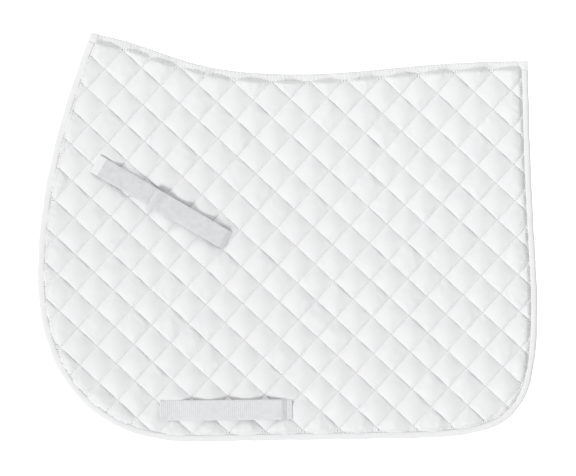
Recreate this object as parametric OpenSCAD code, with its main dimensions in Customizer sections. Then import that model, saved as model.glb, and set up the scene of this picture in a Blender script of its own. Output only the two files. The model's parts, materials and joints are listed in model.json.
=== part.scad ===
// Quilted saddle pad, folded along its spine with both flaps hanging side by side.
// Frame: +X towards the rear of the pad, -Y towards the left flap, +Z up.
// Origin: the lowest point of the spine seam, on the centre plane between the flaps.
// Each flap is a sandwich of cover, batting and lining, gripped at its rim by a folded binding.
// The cloth above the fold line is the crown; it stays with the spine while the flaps swing.

/* [Outline] */
// Distance forward from the lowest point of the spine to the withers corner
withers_reach = 251.5; // [235:0.5:265]
// Height of the withers corner above the lowest point of the spine
withers_rise = 53; // [45:0.5:60]
// Distance back from the lowest point of the spine to the rear corner
croup_reach = 307.5; // [295:0.5:312]
// Height of the rear corner above the lowest point of the spine
croup_rise = 17; // [12:0.5:25]
// Furthest forward reach of the front edge
front_reach = 320; // [312:0.5:335]
// Depth at which the front edge reaches furthest forward
front_depth = 259; // [240:1:275]
// Furthest back reach of the rear edge
rear_reach = 320; // [315:0.5:335]
// Depth at which the rear edge reaches furthest back
rear_depth = 294; // [280:1:305]
// Depth of the bottom edge at its front end
drop = 470.5; // [455:0.5:490]
// Front end of the straight bottom edge
bottom_front = -120; // [-130:1:-110]
// Rear end of the straight bottom edge
bottom_rear = 158; // [145:1:165]
// Rise of the bottom edge towards the rear over its straight length
bottom_rise = 4.7; // [0:0.1:8]

/* [Layers] */
// Thickness of the cotton cover and lining
cloth_t = 0.8; // [0.6:0.1:1]
// Thickness of the batting between the cloths
batting_t = 9; // [6:0.5:12]
// Thickness of the batting where the rim squeezes it
rim_batting_t = 3; // [2:0.5:4]
// Width of the squeezed rim
rim_w = 10.5; // [10.4:0.1:14]
// Gap left between neighbouring pieces
clear = 0.1; // [0.05:0.01:0.1]

/* [Binding] */
// Width of the edge binding on each face
binding_w = 10; // [8:0.5:10]
// Thickness of the binding on the outer face and round the edge
binding_t = 0.8; // [0.6:0.1:0.8]
// Thickness of the binding on the inner face
binding_inner_t = 0.5; // [0.3:0.1:0.5]
// Height of the spine tape on each side
spine_tape_w = 9; // [8:0.5:9.5]
// Length of the binding's crossing over the spine at each end
crossing_len = 12; // [8:0.5:16]

/* [Quilting] */
// Distance between neighbouring quilting lines
quilt_pitch = 33.3; // [25:0.1:45]
// Turn of the diamond lattice from an even diagonal
quilt_turn = 2.2; // [0:0.1:5]
// Place of one line crossing along the pad
quilt_x = 33.4; // [0:0.1:45]
// Depth of that line crossing
quilt_depth = 195.2; // [170:0.1:220]
// Width of a thread run
thread_w = 0.6; // [0.4:0.05:0.8]
// Thickness of a thread run
thread_t = 0.27; // [0.2:0.01:0.27]

/* [Fold] */
// Depth of the fold line below the lowest point of the spine
fold_depth = 10; // [9:0.5:12]
// Gap between the crown and the flap at the fold line
fold_gap = 1; // [0.8:0.1:1.5]

/* [Straps] */
// Thickness of the webbing
webbing_t = 1.3; // [1:0.1:1.4]
// Width of the billet keeper's webbing
keeper_w = 25; // [20:0.5:30]
// Length of the closed billet keeper
keeper_len = 197; // [190:1:205]
// Forward place of the keeper's front end on its centre line
keeper_x = 246.8; // [240:0.1:250]
// Depth of the keeper's front end on its centre line
keeper_depth = 113.5; // [105:0.1:120]
// Slope of the keeper down to the rear
keeper_angle = 30.3; // [25:0.1:35]
// Length of the keeper's lower tab, from the front fold to its tip
lower_tab_len = 131; // [125:1:135]
// Length of the keeper's upper tab, from the rear fold to its tip
upper_tab_len = 111; // [105:1:115]
// Width of the girth loop's webbing
girth_w = 26; // [20:0.5:30]
// Length of the girth loop
girth_len = 169.4; // [160:0.1:175]
// Forward place of the girth loop's front end
girth_x = 163.3; // [155:0.1:170]
// Depth of the girth loop's centre line at its front end
girth_depth = 430.2; // [425:0.1:435]
// Rise of the girth loop towards the rear
girth_tilt = 0.6; // [0:0.1:2]

/* [Hidden] */
LEFT = -1;
RIGHT = 1;

// Distances of the layers from the centre plane.
inner_leg_y = clear;
lining_y = inner_leg_y + binding_inner_t + clear;
batting_y = lining_y + cloth_t + clear;
rim_cloth_y = batting_y + rim_batting_t + clear;
outer_leg_y = rim_cloth_y + cloth_t + clear;
seam_y = outer_leg_y + binding_t + clear / 2;
cover_y = batting_y + batting_t + clear;
face_y = cover_y + cloth_t;
thread_y = face_y + clear / 2;
inner_thread_y = lining_y - clear / 2 - thread_t;
fold_y = face_y + 0.7;

// Insets from the outline to each layer's rim.
wrap_inset = binding_t;
cloth_inset = binding_t + 0.2;
batting_inset = rim_w + cloth_t + clear;
quilt_inset = rim_w + 1.2;
binding_seam_inset = binding_w - 1.6;
spine_seams = [spine_tape_w - 3.6, spine_tape_w - 1.4];
half_fold_gap = fold_gap / 2;
far = 800;

// Corners and turning points of the outline, in the XZ plane.
withers = [-withers_reach, withers_rise];
dip = [12, 0];
croup = [croup_reach, croup_rise];
rear = [rear_reach, -rear_depth];
bottom_dir = [1, bottom_rise / (bottom_rear - bottom_front)];
hem_front = [bottom_front, -drop];
hem_rear = hem_front + (bottom_rear - bottom_front) * bottom_dir;
front = [-front_reach, -front_depth];
front_dir = [-0.4, -1] / norm([-0.4, -1]);
rear_dir = [0.02, -1] / norm([0.02, -1]);

// Keeper heights above the cover, at the middle of the webbing.
foot_h = 0.7;
foot_mid_h = foot_h + webbing_t / 2;
fold_h = 2.95;
lower_tab_h = 5.65;
grip_t = 0.65;
loop_h = lower_tab_h + webbing_t / 2 + clear / 2;
hook_h = loop_h + grip_t + clear / 2;
upper_tab_h = hook_h + grip_t + clear / 2 + webbing_t / 2;
keeper_foot_len = 13;
keeper_foot_inset = 3;
grip_w = keeper_w - 4;
stitch_h = foot_h + webbing_t + clear / 2;
stitch_t = 0.2;

// ---- Curves ----

// n points of a cubic curve, leaving out its last point.
function curve(a, b, c, d, n) = [
    for (i = [0 : n - 1])
        let (t = i / n, u = 1 - t)
        u * u * u * a + 3 * t * u * u * b + 3 * t * t * u * c + t * t * t * d
];

function unit(v) = v / norm(v);

// The normal to the right of a direction: inward on the clockwise outline.
function right_of(v) = [v.y, -v.x];

// The closed outline moved inward by d, with mitred corners.
function inset(points, d) =
    let (n = len(points))
    [
        for (i = [0 : n - 1])
            let (
                before = right_of(unit(points[i] - points[(i + n - 1) % n])),
                after = right_of(unit(points[(i + 1) % n] - points[i]))
            )
            points[i] + d * (before + after) / (1 + before * after)
    ];

// Smooth step from 0 to 1.
function ease(t) = let (u = max(0, min(1, t))) u * u * (3 - 2 * u);

// A strip of thickness t along an open path.
function strip(path, t) =
    let (
        last = len(path) - 1,
        normals = [
            for (i = [0 : last])
                let (d = unit(path[min(i + 1, last)] - path[max(i - 1, 0)]))
                [-d.y, d.x]
        ]
    )
    concat(
        [for (i = [0 : last]) path[i] + normals[i] * t / 2],
        [for (i = [last : -1 : 0]) path[i] - normals[i] * t / 2]
    );

SPINE_FRONT_STEPS = 14;
SPINE_REAR_STEPS = 12;
SPINE_STEPS = SPINE_FRONT_STEPS + SPINE_REAR_STEPS;

outline = concat(
    curve(withers, withers + [103.5, -19], dip - [154, 0], dip, SPINE_FRONT_STEPS),
    curve(dip, dip + [92, 0], croup - [143, 0], croup, SPINE_REAR_STEPS),
    curve(croup, croup + 200 * rear_dir, rear + [0, 40], rear, 8),
    curve(rear, rear - [0, 151], hem_rear + 133 * bottom_dir, hem_rear, 16),
    [hem_rear],
    curve(hem_front, hem_front - 131 * bottom_dir, front - [0, 125], front, 16),
    curve(front, front + [0, 60], withers + 160 * front_dir, withers, 10)
);

// ---- Flat shapes in the XZ plane ----

module inside(d) {
    polygon(inset(outline, d));
}

module rim_band(d0, d1) {
    difference() {
        inside(d0);
        inside(d1);
    }
}

module above_fold() {
    translate([-far / 2, -fold_depth + half_fold_gap]) square([far, far]);
}

module below_fold() {
    translate([-far / 2, -fold_depth - half_fold_gap - far]) square([far, far]);
}

// Everything from w0 to w1 inward of the line through p along dir.
module beside(p, dir, inward, w0, w1) {
    polygon([
        p - far * dir + w0 * inward, p + far * dir + w0 * inward,
        p + far * dir + w1 * inward, p - far * dir + w1 * inward
    ]);
}

// The columns of cloth under the binding at the front and rear ends of the crown.
module front_column(w) {
    beside(withers, front_dir, -right_of(front_dir), -far, w);
}

module rear_column(w) {
    beside(croup, rear_dir, right_of(rear_dir), -far, w);
}

module between_columns(w) {
    intersection() {
        beside(withers, front_dir, -right_of(front_dir), w, far);
        beside(croup, rear_dir, right_of(rear_dir), w, far);
    }
}

// Where the binding crosses over the spine, at both ends of the crown.
module crossing_zone(len) {
    intersection() {
        front_column(binding_w);
        translate([-far, withers_rise - len]) square([far, far]);
    }
    intersection() {
        rear_column(binding_w);
        translate([0, croup_rise - len]) square([far, far]);
    }
}

module quilt_lines(angle) {
    lines = ceil(far / 2 / quilt_pitch);
    translate([quilt_x, -quilt_depth])
        rotate(angle)
            for (i = [-lines : lines])
                translate([-far, i * quilt_pitch - thread_w / 2]) square([2 * far, thread_w]);
}

// ---- Placing ----

module on_side(side) {
    mirror([0, side == RIGHT ? 1 : 0, 0]) children();
}

// A sheet of the flat shape, from y0 to y1 outward of the centre plane on the left side.
module sheet(y0, y1) {
    translate([0, -y0, 0]) rotate([90, 0, 0]) linear_extrude(y1 - y0) children();
}

// A sheet across both sides of the centre plane.
module sheet_across(y) {
    translate([0, y, 0]) rotate([90, 0, 0]) linear_extrude(2 * y) children();
}

// Strap frame: X along the strap, Y outward from the cover, Z across the strap.
module on_cover(x, depth, angle) {
    translate([-x, -face_y, -depth]) rotate([0, angle, 0]) rotate([180, 0, 0]) children();
}

module webbing(path, width) {
    linear_extrude(width, center = true) polygon(strip(path, webbing_t));
}

module keeper_frame(side) {
    on_side(side) on_cover(keeper_x, keeper_depth, keeper_angle) children();
}

module girth_frame(side) {
    on_side(side) on_cover(girth_x, girth_depth, -girth_tilt) children();
}

// Thread runs across a strap at the given distances along it.
module cross_stitches(places, width) {
    for (s = places)
        translate([s - thread_w / 2, stitch_h, -width / 2]) cube([thread_w, stitch_t, width]);
}

// ---- Quilted body: zone 0 is the crown, zone 1 is the flap ----

CROWN = 0;
FLAP = 1;

module in_zone(zone) {
    intersection() {
        children();
        if (zone == CROWN) above_fold();
        else below_fold();
    }
}

module cover(side, zone) {
    color("white") on_side(side) difference() {
        union() {
            sheet(rim_cloth_y, face_y) in_zone(zone) inside(rim_w);
            sheet(rim_cloth_y, rim_cloth_y + cloth_t) in_zone(zone) inside(cloth_inset);
        }
        sheet(rim_cloth_y - cloth_t, cover_y) inside(rim_w + cloth_t);
    }
}

module batting(side, zone) {
    color("whitesmoke") on_side(side) union() {
        sheet(batting_y, batting_y + rim_batting_t) in_zone(zone) inside(cloth_inset);
        sheet(batting_y, batting_y + batting_t) in_zone(zone) inside(batting_inset);
    }
}

module lining(side, zone) {
    color("snow") on_side(side)
        sheet(lining_y, lining_y + cloth_t) in_zone(zone) inside(cloth_inset);
}

// The folded tape: an outer leg, an inner leg and the wrap round the edge.
module binding(side, zone) {
    color("white") on_side(side) union() {
        sheet(outer_leg_y, outer_leg_y + binding_t) binding_shape(zone, binding_w);
        sheet(inner_leg_y, outer_leg_y + binding_t) binding_shape(zone, wrap_inset);
        sheet(inner_leg_y, inner_leg_y + binding_inner_t) binding_shape(zone, binding_w);
    }
}

module binding_shape(zone, width) {
    if (zone == FLAP) in_zone(FLAP) rim_band(0, width);
    else difference() {
        in_zone(CROWN) rim_band(0, width);
        crossing_zone(crossing_len + clear);
        between_columns(binding_w);
    }
}

module binding_crossing(is_front) {
    color("white") union() {
        sheet_across(outer_leg_y + binding_t) crossing_shape(is_front, wrap_inset);
        for (side = [LEFT, RIGHT])
            on_side(side)
                sheet(outer_leg_y, outer_leg_y + binding_t)
                    crossing_shape(is_front, binding_w);
    }
}

module crossing_shape(is_front, width) {
    intersection() {
        rim_band(0, width);
        crossing_zone(crossing_len);
        translate([is_front ? -far : 0, -far / 2]) square([far, far]);
    }
}

module binding_stitching(side) {
    color("gainsboro") on_side(side)
        sheet(seam_y, seam_y + thread_t)
            in_zone(FLAP) rim_band(binding_seam_inset, binding_seam_inset + thread_w);
}

// Two layers of lines on the cover and two on the lining, one for each direction.
module quilting_thread(side, zone) {
    layer = thread_t + clear / 2;
    color("gainsboro") on_side(side)
        for (i = [0, 1])
            for (y = [thread_y + i * layer, inner_thread_y - i * layer])
                sheet(y, y + thread_t) in_zone(zone) intersection() {
                    inside(quilt_inset);
                    quilt_lines(45 + quilt_turn - 90 * i);
                }
}

// ---- Spine ----

// The band that follows the spine, from d0 to d1 below it.
module spine_band(d0, d1) {
    upper = inset(outline, d0);
    lower = inset(outline, d1);
    polygon(concat(
        [for (i = [0 : SPINE_STEPS]) upper[i]],
        [for (i = [SPINE_STEPS : -1 : 0]) lower[i]]
    ));
}

module spine_tape_shape(width) {
    intersection() {
        spine_band(0, width);
        between_columns(binding_w + clear);
    }
}

module spine_tape() {
    color("white") union() {
        sheet_across(outer_leg_y + binding_t) spine_tape_shape(wrap_inset);
        for (side = [LEFT, RIGHT])
            on_side(side)
                sheet(outer_leg_y, outer_leg_y + binding_t) spine_tape_shape(spine_tape_w);
    }
}

module spine_stitching() {
    color("gainsboro")
        for (side = [LEFT, RIGHT], d = spine_seams)
            on_side(side)
                sheet(seam_y, seam_y + thread_t) intersection() {
                    spine_band(d, d + thread_w);
                    between_columns(binding_w + 1);
                }
}

// ---- Girth loop ----

girth_front_foot = 11;
girth_rear_foot = 6;
girth_rise_len = 46;
girth_drop_len = 9;
girth_bow_front = 6.5;
girth_bow_rear = 7.5;

function girth_path() =
    let (
        rise_end = girth_front_foot + girth_rise_len,
        drop_end = girth_len - girth_rear_foot,
        drop_start = drop_end - girth_drop_len
    )
    concat(
        [[0, foot_mid_h]],
        [
            for (i = [0 : 8])
                let (t = i / 8)
                [girth_front_foot + t * girth_rise_len,
                 foot_mid_h + (girth_bow_front - foot_mid_h) * ease(t)]
        ],
        [[(rise_end + drop_start) / 2, (girth_bow_front + girth_bow_rear) / 2 + 0.3]],
        [
            for (i = [0 : 6])
                let (t = i / 6)
                [drop_start + t * girth_drop_len,
                 girth_bow_rear + (foot_mid_h - girth_bow_rear) * ease(t)]
        ],
        [[girth_len, foot_mid_h]]
    );

module girth_strap(side) {
    color("lightgray") girth_frame(side) webbing(girth_path(), girth_w);
}

module girth_strap_stitching(side) {
    color("white") girth_frame(side)
        cross_stitches([3.2, 5.6, 9.4, girth_len - 4.2, girth_len - 1.8], girth_w - 4);
}

// ---- Billet keeper: two tabs that lap over each other and grip ----

module keeper_foot(side, start) {
    color("lightgray") keeper_frame(side)
        translate([start, foot_h, -keeper_w / 2])
            cube([keeper_foot_len, webbing_t, keeper_w]);
}

rear_foot_start = keeper_len - keeper_foot_inset - keeper_foot_len;

module keeper_stitching(side) {
    color("white") keeper_frame(side)
        cross_stitches(
            [
                for (start = [keeper_foot_inset, rear_foot_start])
                    for (inward = [2.5, keeper_foot_len - 2.5])
                        start + inward
            ],
            keeper_w - 4
        );
}

lower_rise_len = 15;
upper_drop_len = 10;
tab_end_gap = 1.2;

function lower_tab_path() = concat(
    [
        for (i = [0 : 8])
            let (t = i / 8)
            [tab_end_gap + t * lower_rise_len, fold_h + (lower_tab_h - fold_h) * ease(t)]
    ],
    [[lower_tab_len, lower_tab_h]]
);

function upper_tab_path() = concat(
    [[keeper_len - upper_tab_len, upper_tab_h]],
    [
        for (i = [0 : 8])
            let (t = i / 8)
            [keeper_len - tab_end_gap - (1 - t) * upper_drop_len,
             upper_tab_h + (fold_h - upper_tab_h) * ease(t)]
    ]
);

module keeper_lower_tab(side) {
    color("lightgray") keeper_frame(side) webbing(lower_tab_path(), keeper_w);
}

module keeper_upper_tab(side) {
    color("lightgray") keeper_frame(side) webbing(upper_tab_path(), keeper_w);
}

// The lap between the tabs, less a small margin, holds the hook and the loop tape.
lap_start = keeper_len - upper_tab_len;
grip_margin = 2;

module grip_tape(side, h, start, end) {
    color("white") keeper_frame(side)
        translate([start, h, -grip_w / 2]) cube([end - start, grip_t, grip_w]);
}

module loop_tape(side) {
    grip_tape(side, loop_h, lap_start + 3 * grip_margin, lower_tab_len - grip_margin);
}

module hook_tape(side) {
    grip_tape(side, hook_h, lap_start + grip_margin, lower_tab_len - 2 * grip_margin);
}

spine_tape();
spine_stitching();
binding_crossing(true);  // front_binding_crossing
binding_crossing(false);  // rear_binding_crossing

cover(LEFT, CROWN);  // left_crown_cover
batting(LEFT, CROWN);  // left_crown_batting
lining(LEFT, CROWN);  // left_crown_lining
binding(LEFT, CROWN);  // left_crown_binding
quilting_thread(LEFT, CROWN);  // left_crown_quilting_thread
cover(RIGHT, CROWN);  // right_crown_cover
batting(RIGHT, CROWN);  // right_crown_batting
lining(RIGHT, CROWN);  // right_crown_lining
binding(RIGHT, CROWN);  // right_crown_binding
quilting_thread(RIGHT, CROWN);  // right_crown_quilting_thread

cover(LEFT, FLAP);  // left_flap_cover
batting(LEFT, FLAP);  // left_flap_batting
lining(LEFT, FLAP);  // left_flap_lining
binding(LEFT, FLAP);  // left_edge_binding
binding_stitching(LEFT);  // left_binding_stitching
quilting_thread(LEFT, FLAP);  // left_quilting_thread
cover(RIGHT, FLAP);  // right_flap_cover
batting(RIGHT, FLAP);  // right_flap_batting
lining(RIGHT, FLAP);  // right_flap_lining
binding(RIGHT, FLAP);  // right_edge_binding
binding_stitching(RIGHT);  // right_binding_stitching
quilting_thread(RIGHT, FLAP);  // right_quilting_thread

girth_strap(LEFT);  // left_girth_strap
girth_strap_stitching(LEFT);  // left_girth_strap_stitching
keeper_foot(LEFT, keeper_foot_inset);  // left_keeper_front_foot
keeper_foot(LEFT, rear_foot_start);  // left_keeper_rear_foot
keeper_stitching(LEFT);  // left_keeper_stitching
keeper_lower_tab(LEFT);  // left_keeper_lower_tab
loop_tape(LEFT);  // left_loop_tape
keeper_upper_tab(LEFT);  // left_keeper_upper_tab
hook_tape(LEFT);  // left_hook_tape

girth_strap(RIGHT);  // right_girth_strap
girth_strap_stitching(RIGHT);  // right_girth_strap_stitching
keeper_foot(RIGHT, keeper_foot_inset);  // right_keeper_front_foot
keeper_foot(RIGHT, rear_foot_start);  // right_keeper_rear_foot
keeper_stitching(RIGHT);  // right_keeper_stitching
keeper_lower_tab(RIGHT);  // right_keeper_lower_tab
loop_tape(RIGHT);  // right_loop_tape
keeper_upper_tab(RIGHT);  // right_keeper_upper_tab
hook_tape(RIGHT);  // right_hook_tape
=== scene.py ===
"""Looks of the quilted saddle pad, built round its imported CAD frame. Metres, in the frame's own axes.

Every soft piece is built for the left side, where y is negative, and mirrored for the right side.
Heights are distances outward from the centre plane, so on the left side y = -height.
"""

import json
import math

import bpy
import numpy as np
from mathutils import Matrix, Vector
from mathutils.kdtree import KDTree


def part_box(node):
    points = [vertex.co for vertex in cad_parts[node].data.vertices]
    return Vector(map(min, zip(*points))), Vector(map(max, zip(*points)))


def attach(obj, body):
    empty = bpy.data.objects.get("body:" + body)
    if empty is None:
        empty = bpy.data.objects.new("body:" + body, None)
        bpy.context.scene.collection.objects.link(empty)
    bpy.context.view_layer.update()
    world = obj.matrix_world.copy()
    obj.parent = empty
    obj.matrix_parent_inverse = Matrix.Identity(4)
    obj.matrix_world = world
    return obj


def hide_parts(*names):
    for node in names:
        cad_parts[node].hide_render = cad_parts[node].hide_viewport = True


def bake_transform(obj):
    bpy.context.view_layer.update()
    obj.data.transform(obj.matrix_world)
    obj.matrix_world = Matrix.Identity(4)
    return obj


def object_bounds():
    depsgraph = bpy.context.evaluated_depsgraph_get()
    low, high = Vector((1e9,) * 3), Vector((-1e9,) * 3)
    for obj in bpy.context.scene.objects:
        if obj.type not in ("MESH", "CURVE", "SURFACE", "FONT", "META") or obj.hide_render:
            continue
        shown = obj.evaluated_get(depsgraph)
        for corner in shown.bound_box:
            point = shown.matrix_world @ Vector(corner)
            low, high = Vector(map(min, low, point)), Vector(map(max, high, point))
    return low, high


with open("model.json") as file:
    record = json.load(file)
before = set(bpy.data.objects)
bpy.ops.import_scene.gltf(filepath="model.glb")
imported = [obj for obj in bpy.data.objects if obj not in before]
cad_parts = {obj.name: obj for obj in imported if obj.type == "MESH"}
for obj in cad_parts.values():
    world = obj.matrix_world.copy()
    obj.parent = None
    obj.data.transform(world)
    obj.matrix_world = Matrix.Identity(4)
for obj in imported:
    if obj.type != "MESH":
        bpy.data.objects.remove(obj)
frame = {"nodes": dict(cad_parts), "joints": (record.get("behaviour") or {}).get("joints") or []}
CAD_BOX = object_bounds()

MM = 0.001
SEED = 20

# Heights outward from the centre plane, at the rim and in the stitched grooves.
FACE_HEIGHT = -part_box("left_flap_cover")[0].y
RIM_HEIGHT = -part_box("left_edge_binding")[0].y
COVER_RIM, COVER_GROOVE = RIM_HEIGHT - 0.4 * MM, FACE_HEIGHT - 3.7 * MM
LINING_RIM, LINING_GROOVE = 1.3 * MM, 3.7 * MM
CLOTH = 0.8 * MM

# Padding over the grooves. The simulated cloth adds its dents and its sideways creases in part.
PUFF, LINING_PUFF = 5.0 * MM, 3.3 * MM
DENT, SIDEWAYS = 0.85, 0.3
DENT_LIMIT = 1.6 * MM

# Distances in from the outline.
BINDING_WIDTH = 10.0 * MM
SEAM_INSET = 8.5 * MM
CLOTH_INSET = 4.0 * MM
OVERHANG = 1.0 * MM
RIM_RISE = 6.0 * MM

# How far below the fold line the end point of each side's bend lies.
FOLD_LENGTH = 36 * MM


# ------------------------ reading the frame

def vertices(node):
    mesh = frame["nodes"][node].data
    co = np.zeros(len(mesh.vertices) * 3, np.float32)
    mesh.vertices.foreach_get("co", co)
    return co.reshape(-1, 3).astype(float)


def joint(name):
    return next(j for j in frame["joints"] if j["name"] == name)


def plate_loop(node):
    """The ordered outline, as (x, z) points, of a flat CAD plate."""
    index, points = [], {}
    for p in np.round(vertices(node), 6):
        index.append(points.setdefault(tuple(p), len(points)))
    points = np.array(list(points))
    face = points[:, 1].min()
    edges = set()
    for polygon in frame["nodes"][node].data.polygons:
        ring = [index[v] for v in polygon.vertices]
        if all(abs(points[i][1] - face) < 1e-6 for i in ring):
            edges.update(zip(ring, ring[1:] + ring[:1]))
    after = {a: b for a, b in edges if (b, a) not in edges}
    start = min(after)
    ring = [start]
    while after[ring[-1]] != start:
        ring.append(after[ring[-1]])
    return points[ring][:, [0, 2]]


def path_length(path):
    """How far along the path each of its points lies."""
    return np.concatenate([[0], np.cumsum(np.linalg.norm(np.diff(path, axis=0), axis=1))])


def resample(points, spacing, smoothing=0.0):
    """The open path with even steps, rounded over the smoothing length, ends kept."""
    along = path_length(points)
    count = max(2, int(round(along[-1] / spacing)))
    even = np.linspace(0, along[-1], count + 1)
    path = np.stack([np.interp(even, along, points[:, k]) for k in range(points.shape[1])], 1)
    for _ in range(int(2 * (smoothing / spacing) ** 2)):
        path[1:-1] = 0.25 * path[:-2] + 0.5 * path[1:-1] + 0.25 * path[2:]
    return path


def unit(v):
    return v / np.maximum(np.linalg.norm(v, axis=-1, keepdims=True), 1e-12)


def right_of(directions):
    """Directions a quarter turn to the right: inward on an outline that runs clockwise."""
    return np.stack([directions[:, 1], -directions[:, 0]], 1)


def tangents(path):
    return unit(np.gradient(path, axis=0))


def inward(path):
    return right_of(tangents(path))


def edges_at(loop):
    """The directions of the edges before and after each point of a closed loop."""
    before = unit(loop - np.roll(loop, 1, 0))
    return before, np.roll(before, -1, 0)


def front_to_rear(loop, keep):
    """The kept stretch of a closed loop, in order from the front."""
    start = int(np.flatnonzero(keep & ~np.roll(keep, 1))[0])
    stretch = np.roll(loop, -start, 0)[np.roll(keep, -start)]
    return stretch if stretch[0, 0] < stretch[-1, 0] else stretch[::-1]


def outline_chains():
    """The pad's outline as two clockwise chains: along the spine, and round the rim."""
    spacing, smoothing, gap = 2 * MM, 9 * MM, 2 * MM
    corner_cosine = 0.8
    crown, flap = plate_loop("left_crown_lining"), plate_loop("left_flap_lining")
    cut = (crown[:, 1].min() + flap[:, 1].max()) / 2
    crown = front_to_rear(crown, crown[:, 1] > cut + gap)
    flap = front_to_rear(flap, flap[:, 1] < cut - gap)[::-1]
    loop = np.concatenate([crown, flap])
    before, after = edges_at(loop)
    corners = np.flatnonzero((before * after).sum(1) < corner_cosine)
    withers = corners[np.argmin(loop[corners, 0])]
    croup = corners[np.argmax(loop[corners, 0])]
    loop = np.roll(loop, -withers, 0)
    croup = (croup - withers) % len(loop)
    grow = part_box("left_flap_lining")[0].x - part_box("left_edge_binding")[0].x
    mitred = grown(loop, grow)
    spine = mitred[:croup + 1]
    rim = np.concatenate([mitred[croup:], mitred[:1]])
    return resample(spine, spacing, smoothing), resample(rim, spacing, smoothing)


def grown(loop, distance):
    """A closed clockwise loop moved outward with mitred corners."""
    n0, n1 = map(right_of, edges_at(loop))
    return loop - distance * (n0 + n1) / (1 + (n0 * n1).sum(1, keepdims=True))


SPINE, RIM = outline_chains()
OUTLINE = np.concatenate([SPINE[:-1], RIM[:-1]])


OUTLINE_TREE = KDTree(len(OUTLINE))
for k, (x, z) in enumerate(OUTLINE):
    OUTLINE_TREE.insert((x, 0, z), k)
OUTLINE_TREE.balance()


def nearest(points):
    """Distance inside the outline (negative outside), place along it and the nearest outline point."""
    step = np.roll(OUTLINE, -1, 0) - OUTLINE
    length = np.linalg.norm(step, axis=1)
    start = np.concatenate([[0], np.cumsum(length)[:-1]])
    near = np.array([OUTLINE_TREE.find((x, 0, z))[1] for x, z in points])
    best_gap = np.full(len(points), np.inf)
    best_along, best_foot = np.zeros(len(points)), np.zeros((len(points), 2))
    for segment in ((near - 1) % len(OUTLINE), near):
        t = (((points - OUTLINE[segment]) * step[segment]).sum(1) / length[segment] ** 2).clip(0, 1)
        foot = OUTLINE[segment] + t[:, None] * step[segment]
        gap = np.linalg.norm(points - foot, axis=1)
        better = gap < best_gap
        best_gap[better] = gap[better]
        best_along[better] = (start[segment] + t * length[segment])[better]
        best_foot[better] = foot[better]
    direction = step / length[:, None]
    course = direction[(near - 1) % len(OUTLINE)] + direction[near]
    away = points - best_foot
    inside = course[:, 0] * away[:, 1] - course[:, 1] * away[:, 0] < 0
    return np.where(inside, best_gap, -best_gap), best_along, best_foot


def thread_lines():
    """For each of the two directions of quilting: the unit normal of its lines, and their offsets."""
    families = []
    co = np.concatenate([vertices("left_quilting_thread"), vertices("left_crown_quilting_thread")])
    layers = np.unique(np.round(-co[:, 1], 5))
    outer = layers[layers > FACE_HEIGHT]
    for low, high in (outer[:2], outer[2:4]):
        own = co[(-co[:, 1] > low - 1e-6) & (-co[:, 1] < high + 1e-6)][:, [0, 2]]
        angles = np.radians(np.arange(0, 180, 0.05))
        spread = []
        for angle in angles:
            across = own @ np.array([math.sin(angle), -math.cos(angle)])
            spread.append(len(np.unique(np.round(across, 4))))
        angle = angles[int(np.argmin(spread))]
        normal = np.array([math.sin(angle), -math.cos(angle)])
        across = np.sort(own @ normal)
        groups = np.split(across, np.flatnonzero(np.diff(across) > 5 * MM) + 1)
        families.append((normal, np.array([(g[0] + g[-1]) / 2 for g in groups])))
    return families


def smoothstep(t):
    """Rises smoothly from 0 to 1 as t does."""
    t = np.clip(t, 0, 1)
    return t * t * (3 - 2 * t)


def wobble(s, seed, length):
    """Smooth seeded noise along s, between about -1 and 1."""
    rng = np.random.default_rng(seed)
    total = np.zeros_like(s)
    for k in range(1, 6):
        total += rng.normal() * np.sin(2 * np.pi * s / (length / k) + rng.uniform(0, 2 * np.pi)) / k
    return total / 1.5


# ------------------------ making pieces

def new_mesh(name, verts, faces, material, smooth=True):
    mesh = bpy.data.meshes.new(name)
    mesh.from_pydata(np.asarray(verts).tolist(), [], [list(map(int, f)) for f in faces])
    mesh.polygons.foreach_set("use_smooth", np.full(len(mesh.polygons), smooth))
    mesh.materials.append(material)
    mesh.update()
    piece = bpy.data.objects.new(name, mesh)
    bpy.context.scene.collection.objects.link(piece)
    return piece


def pair(name, skin, material, nodes, body=None, bend=None):
    """The piece on the left side and its mirror image on the right. skin is its (verts, faces).

    nodes go without their side's name, and bodies hold {} in its place. A bend, given as (body a,
    body b, start, end), only leaves the piece where it stands, in no body; its parts are not used.
    """
    verts, faces = skin
    pieces = []
    for side, sign in (("left", 1), ("right", -1)):
        v = np.array(verts) * np.array([1, sign, 1])
        f = faces if sign == 1 else [tuple(x)[::-1] for x in faces]
        piece = new_mesh(f"{side}_{name}", v, f, material)
        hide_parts(*[f"{side}_{n}" for n in nodes])
        if bend:
            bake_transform(piece)
        else:
            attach(piece, body.format(side))
        pieces.append(piece)
    return pieces


def spine_piece(name, verts, faces, material, slot):
    """A piece that stays with the spine. Its name is its CAD node's, with _visual added."""
    piece = new_mesh(name + "_visual", verts, faces, material)
    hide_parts(name)
    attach(piece, "spine")


def join(parts):
    """Several (verts, faces) as one."""
    verts, faces, base = [], [], 0
    for v, f in parts:
        verts.append(np.asarray(v))
        faces.extend(tuple(i + base for i in face) for face in f)
        base += len(v)
    return np.concatenate(verts), faces


def loft(rings):
    """A closed skin over rings of points, shaped (stations, points, 3)."""
    stations, count = rings.shape[:2]
    index = np.arange(stations * count).reshape(stations, count)
    here, there = index[:-1], index[1:]
    quads = np.stack([here, there, np.roll(there, -1, 1), np.roll(here, -1, 1)], -1).reshape(-1, 4)
    return rings.reshape(-1, 3), [*map(tuple, quads), tuple(index[0]), tuple(index[-1][::-1])]


def lift(flat, height):
    """Points (x, z) at a height outward, which is one number or one for each point."""
    return np.stack([flat[:, 0], np.broadcast_to(-height, len(flat)), flat[:, 1]], 1)


# Outward on the left side, as the one row that every stitch of a run shares.
OUTWARD = np.array([[0.0, -1.0, 0.0]])


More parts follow.
